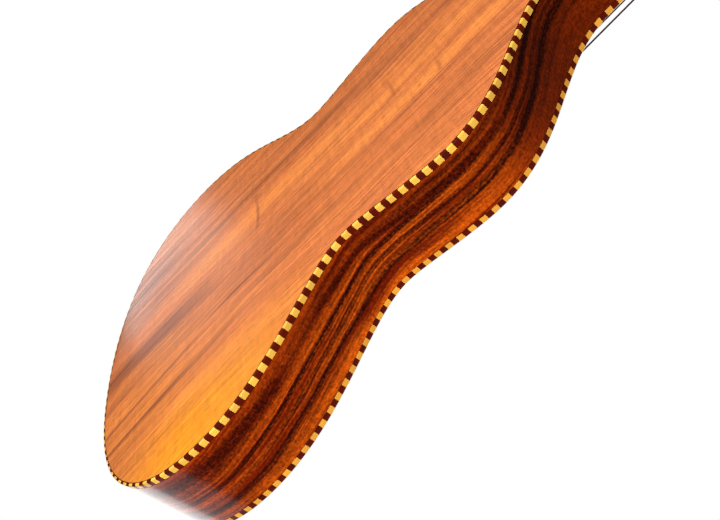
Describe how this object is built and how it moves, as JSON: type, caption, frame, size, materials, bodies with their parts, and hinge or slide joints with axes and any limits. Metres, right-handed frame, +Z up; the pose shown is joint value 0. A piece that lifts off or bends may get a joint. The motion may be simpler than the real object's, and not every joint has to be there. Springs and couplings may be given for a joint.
{
  "type": "lap steel guitar",
  "caption": "Hollow-neck acoustic lap steel guitar in koa with rope binding, a raised nut and saddle, and open-gear tuners on a solid head.",
  "frame": {"origin": "middle of the bounding box, at the flat strip of the back that the guitar lies on", "axes": "+X along the strings from the tail to the head, +Y towards the bass side, +Z up through the soundboard towards the strings"},
  "size_m": [0.9486, 0.39, 0.0887],
  "materials": {
    "koa_back": "gloss lacquer",
    "koa_side": "gloss lacquer",
    "koa_top": "gloss lacquer",
    "mahogany": "bare",
    "spruce": "bare",
    "rope_binding": "gloss lacquer",
    "rosewood": "oiled",
    "bone": "polished bone",
    "nickel": "satin nickel plate",
    "bronze_string": "wound bronze",
    "steel_string": "plain steel",
    "knob_cream": "polished"
  },
  "bodies": {
    "guitar": {"back_binding": "rope_binding", "back_brace_1": "spruce", "back_brace_2": "spruce", "back_brace_3": "spruce", "back_plate": "koa_back", "bass_back_lining": "mahogany", "bass_side": "koa_side", "bass_top_lining": "mahogany", "bridge": "rosewood", "bridge_pin_1": "bone", "bridge_pin_2": "bone", "bridge_pin_3": "bone", "bridge_pin_4": "bone", "bridge_pin_5": "bone", "bridge_pin_6": "bone", "bridge_plate": "rosewood", "fingerboard": "rosewood", "headstock": "mahogany", "headstock_veneer": "koa_top", "neck_block": "mahogany", "neck_end_cap": "koa_side", "nut": "bone", "post_bushing_1": "nickel", "post_bushing_2": "nickel", "post_bushing_3": "nickel", "post_bushing_4": "nickel", "post_bushing_5": "nickel", "post_bushing_6": "nickel", "saddle": "bone", "soundboard": "koa_top", "soundhole_binding": "rope_binding", "string_1": "bronze_string", "string_2": "bronze_string", "string_3": "bronze_string", "string_4": "bronze_string", "string_5": "steel_string", "string_6": "steel_string", "tail_block": "mahogany", "top_binding": "rope_binding", "treble_back_lining": "mahogany", "treble_side": "koa_side", "treble_top_lining": "mahogany", "tuner_plate_bass": "nickel", "tuner_plate_treble": "nickel", "upper_brace": "spruce", "x_brace_bass": "spruce", "x_brace_treble": "spruce"},
    "tuner_knob_1_body": {"tuner_knob_1": "knob_cream"},
    "tuner_post_1_body": {"tuner_post_1": "nickel"},
    "tuner_knob_2_body": {"tuner_knob_2": "knob_cream"},
    "tuner_post_2_body": {"tuner_post_2": "nickel"},
    "tuner_knob_3_body": {"tuner_knob_3": "knob_cream"},
    "tuner_post_3_body": {"tuner_post_3": "nickel"},
    "tuner_knob_4_body": {"tuner_knob_4": "knob_cream"},
    "tuner_post_4_body": {"tuner_post_4": "nickel"},
    "tuner_knob_5_body": {"tuner_knob_5": "knob_cream"},
    "tuner_post_5_body": {"tuner_post_5": "nickel"},
    "tuner_knob_6_body": {"tuner_knob_6": "knob_cream"},
    "tuner_post_6_body": {"tuner_post_6": "nickel"}
  },
  "joints": [
    {"name": "tuner_knob_1_turn", "type": "hinge", "parent": "guitar", "child": "tuner_knob_1_body", "pos_m": [0.35923, 0.024, 0.02702], "axis": [0, 1, 0], "continuous": true},
    {"name": "tuner_post_1_turn", "type": "hinge", "parent": "guitar", "child": "tuner_post_1_body", "pos_m": [0.36722, 0.024, 0.03069], "axis": [0.1595, 0, 0.9872], "continuous": true},
    {"name": "tuner_knob_2_turn", "type": "hinge", "parent": "guitar", "child": "tuner_knob_2_body", "pos_m": [0.39378, 0.024, 0.02143], "axis": [0, 1, 0], "continuous": true},
    {"name": "tuner_post_2_turn", "type": "hinge", "parent": "guitar", "child": "tuner_post_2_body", "pos_m": [0.40177, 0.024, 0.0251], "axis": [0.1595, 0, 0.9872], "continuous": true},
    {"name": "tuner_knob_3_turn", "type": "hinge", "parent": "guitar", "child": "tuner_knob_3_body", "pos_m": [0.42833, 0.024, 0.01585], "axis": [0, 1, 0], "continuous": true},
    {"name": "tuner_post_3_turn", "type": "hinge", "parent": "guitar", "child": "tuner_post_3_body", "pos_m": [0.43632, 0.024, 0.01952], "axis": [0.1595, 0, 0.9872], "continuous": true},
    {"name": "tuner_knob_4_turn", "type": "hinge", "parent": "guitar", "child": "tuner_knob_4_body", "pos_m": [0.42833, -0.024, 0.01585], "axis": [0, -1, 0], "continuous": true},
    {"name": "tuner_post_4_turn", "type": "hinge", "parent": "guitar", "child": "tuner_post_4_body", "pos_m": [0.43632, -0.024, 0.01952], "axis": [0.1595, 0, 0.9872], "continuous": true},
    {"name": "tuner_knob_5_turn", "type": "hinge", "parent": "guitar", "child": "tuner_knob_5_body", "pos_m": [0.39378, -0.024, 0.02143], "axis": [0, -1, 0], "continuous": true},
    {"name": "tuner_post_5_turn", "type": "hinge", "parent": "guitar", "child": "tuner_post_5_body", "pos_m": [0.40177, -0.024, 0.0251], "axis": [0.1595, 0, 0.9872], "continuous": true},
    {"name": "tuner_knob_6_turn", "type": "hinge", "parent": "guitar", "child": "tuner_knob_6_body", "pos_m": [0.35923, -0.024, 0.02702], "axis": [0, -1, 0], "continuous": true},
    {"name": "tuner_post_6_turn", "type": "hinge", "parent": "guitar", "child": "tuner_post_6_body", "pos_m": [0.36722, -0.024, 0.03069], "axis": [0.1595, 0, 0.9872], "continuous": true}
  ],
  "couplings": [
    {"joint": "tuner_post_1_turn", "follows": "tuner_knob_1_turn", "ratio": 0.071429},
    {"joint": "tuner_post_2_turn", "follows": "tuner_knob_2_turn", "ratio": 0.071429},
    {"joint": "tuner_post_3_turn", "follows": "tuner_knob_3_turn", "ratio": 0.071429},
    {"joint": "tuner_post_4_turn", "follows": "tuner_knob_4_turn", "ratio": -0.071429},
    {"joint": "tuner_post_5_turn", "follows": "tuner_knob_5_turn", "ratio": -0.071429},
    {"joint": "tuner_post_6_turn", "follows": "tuner_knob_6_turn", "ratio": -0.071429}
  ]
}
